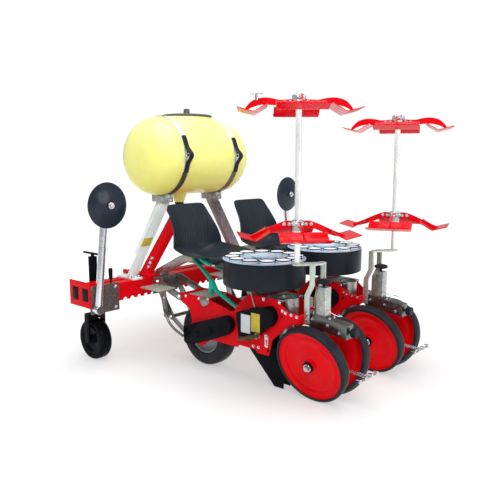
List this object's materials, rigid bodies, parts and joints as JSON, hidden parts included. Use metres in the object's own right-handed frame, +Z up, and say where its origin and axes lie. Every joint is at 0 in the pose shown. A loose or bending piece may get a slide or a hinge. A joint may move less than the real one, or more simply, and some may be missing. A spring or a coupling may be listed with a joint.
{
  "type": "vegetable transplanter",
  "caption": "Mounted row transplanter for vegetables: water tank, bucket seats, plant carousels, tray stands, drive wheels and slanted press wheels on a hitch toolbar.",
  "frame": {"origin": "ground point below the middle of the machine's box", "axes": "+X to the machine's right, +Y the way it travels, +Z up"},
  "size_m": [2.1958, 2.1912, 1.7975],
  "materials": {
    "red_paint": "gloss",
    "zinc": "satin",
    "dark_paint": "satin",
    "black_plastic": "matte",
    "black_rubber": "matte",
    "tank_plastic": "satin",
    "hose": "gloss"
  },
  "bodies": {
    "machine": {"toolbar_beam": "red_paint", "end_brackets": "dark_paint", "end_plugs": "black_plastic", "hitch_frame": "red_paint", "tank_legs": "zinc", "tank": "tank_plastic", "tank_straps": "zinc", "strap_tensioners": "black_rubber", "tank_outlet": "black_plastic", "gauge_legs": "dark_paint", "seat_supports": "zinc", "seats": "black_plastic", "foot_plates": "zinc", "unit_clamps": "zinc", "unit_frames": "red_paint", "chain_cases": "black_plastic", "drive_axles": "zinc", "openers": "dark_paint", "drop_funnels": "zinc", "carousel_posts": "zinc", "press_arms": "zinc", "depth_knobs": "black_plastic", "scrapers": "zinc", "stand_brackets": "zinc", "stand_posts": "zinc", "water_hoses": "hose"},
    "gauge_wheel_left": {"gauge_wheel_left": "black_rubber"},
    "drive_wheel_left": {"drive_tyre_left": "black_rubber", "drive_rim_left": "zinc"},
    "carousel_left": {"carousel_drum_left": "black_plastic", "carousel_top_left": "zinc"},
    "marker_left": {"marker_arm_left": "zinc"},
    "marker_disc_left": {"marker_disc_left": "dark_paint"},
    "gauge_wheel_right": {"gauge_wheel_right": "black_rubber"},
    "drive_wheel_right": {"drive_tyre_right": "black_rubber", "drive_rim_right": "zinc"},
    "carousel_right": {"carousel_drum_right": "black_plastic", "carousel_top_right": "zinc"},
    "marker_right": {"marker_arm_right": "zinc"},
    "marker_disc_right": {"marker_disc_right": "dark_paint"},
    "press_wheel_1": {"press_tyre_1": "black_rubber", "press_disc_1": "red_paint"},
    "press_wheel_2": {"press_tyre_2": "black_rubber", "press_disc_2": "red_paint"},
    "press_wheel_3": {"press_tyre_3": "black_rubber", "press_disc_3": "red_paint"},
    "press_wheel_4": {"press_tyre_4": "black_rubber", "press_disc_4": "red_paint"},
    "tray_tier_1": {"tray_tier_1": "red_paint"},
    "tray_tier_2": {"tray_tier_2": "red_paint"},
    "tray_tier_3": {"tray_tier_3": "red_paint"},
    "tray_tier_4": {"tray_tier_4": "red_paint"},
    "lid": {"tank_lid": "black_plastic"}
  },
  "joints": [
    {"name": "gauge_left_spin", "type": "hinge", "parent": "machine", "child": "gauge_wheel_left", "pos_m": [-0.87, 0.94962, 0.146], "axis": [1, 0, 0], "continuous": true},
    {"name": "drive_left_spin", "type": "hinge", "parent": "machine", "child": "drive_wheel_left", "pos_m": [-0.42, 0.24662, 0.225], "axis": [1, 0, 0], "continuous": true},
    {"name": "carousel_left_turn", "type": "hinge", "parent": "machine", "child": "carousel_left", "pos_m": [-0.42, -0.25338, 0.722], "axis": [0, 0, 1], "continuous": true},
    {"name": "marker_left_fold", "type": "hinge", "parent": "machine", "child": "marker_left", "pos_m": [-1.026, 0.66562, 0.432], "axis": [0, -1, 0], "range_deg": [0, 112]},
    {"name": "marker_disc_left_spin", "type": "hinge", "parent": "marker_left", "child": "marker_disc_left", "pos_m": [-0.94789, 0.62162, 1.11756], "axis": [0, 1, 0], "continuous": true},
    {"name": "gauge_right_spin", "type": "hinge", "parent": "machine", "child": "gauge_wheel_right", "pos_m": [0.87, 0.94962, 0.146], "axis": [1, 0, 0], "continuous": true},
    {"name": "drive_right_spin", "type": "hinge", "parent": "machine", "child": "drive_wheel_right", "pos_m": [0.24, 0.24662, 0.225], "axis": [1, 0, 0], "continuous": true},
    {"name": "carousel_right_turn", "type": "hinge", "parent": "machine", "child": "carousel_right", "pos_m": [0.24, -0.25338, 0.722], "axis": [0, 0, 1], "continuous": true},
    {"name": "marker_right_fold", "type": "hinge", "parent": "machine", "child": "marker_right", "pos_m": [1.026, 0.66562, 0.432], "axis": [0, 1, 0], "range_deg": [0, 112]},
    {"name": "marker_disc_right_spin", "type": "hinge", "parent": "marker_right", "child": "marker_disc_right", "pos_m": [0.94789, 0.62162, 1.11756], "axis": [0, 1, 0], "continuous": true},
    {"name": "press_1_spin", "type": "hinge", "parent": "machine", "child": "press_wheel_1", "pos_m": [-0.498, -0.68138, 0.23565], "axis": [-0.9659, 0, -0.2588], "continuous": true},
    {"name": "press_2_spin", "type": "hinge", "parent": "machine", "child": "press_wheel_2", "pos_m": [-0.274, -0.68138, 0.23565], "axis": [0.9659, 0, -0.2588], "continuous": true},
    {"name": "press_3_spin", "type": "hinge", "parent": "machine", "child": "press_wheel_3", "pos_m": [0.162, -0.68138, 0.23565], "axis": [-0.9659, 0, -0.2588], "continuous": true},
    {"name": "press_4_spin", "type": "hinge", "parent": "machine", "child": "press_wheel_4", "pos_m": [0.386, -0.68138, 0.23565], "axis": [0.9659, 0, -0.2588], "continuous": true},
    {"name": "tier_1_turn", "type": "hinge", "parent": "machine", "child": "tray_tier_1", "pos_m": [-0.52, -0.58338, 1.042], "axis": [0, 0, 1], "continuous": true},
    {"name": "tier_2_turn", "type": "hinge", "parent": "machine", "child": "tray_tier_2", "pos_m": [-0.52, -0.58338, 1.734], "axis": [0, 0, 1], "continuous": true},
    {"name": "tier_3_turn", "type": "hinge", "parent": "machine", "child": "tray_tier_3", "pos_m": [0.345, -0.73338, 1.044], "axis": [0, 0, 1], "continuous": true},
    {"name": "tier_4_turn", "type": "hinge", "parent": "machine", "child": "tray_tier_4", "pos_m": [0.345, -0.73338, 1.664], "axis": [0, 0, 1], "continuous": true},
    {"name": "lid_lift", "type": "slide", "parent": "machine", "child": "lid", "axis": [0, 0, 1], "range_m": [0, 0.12]}
  ]
}
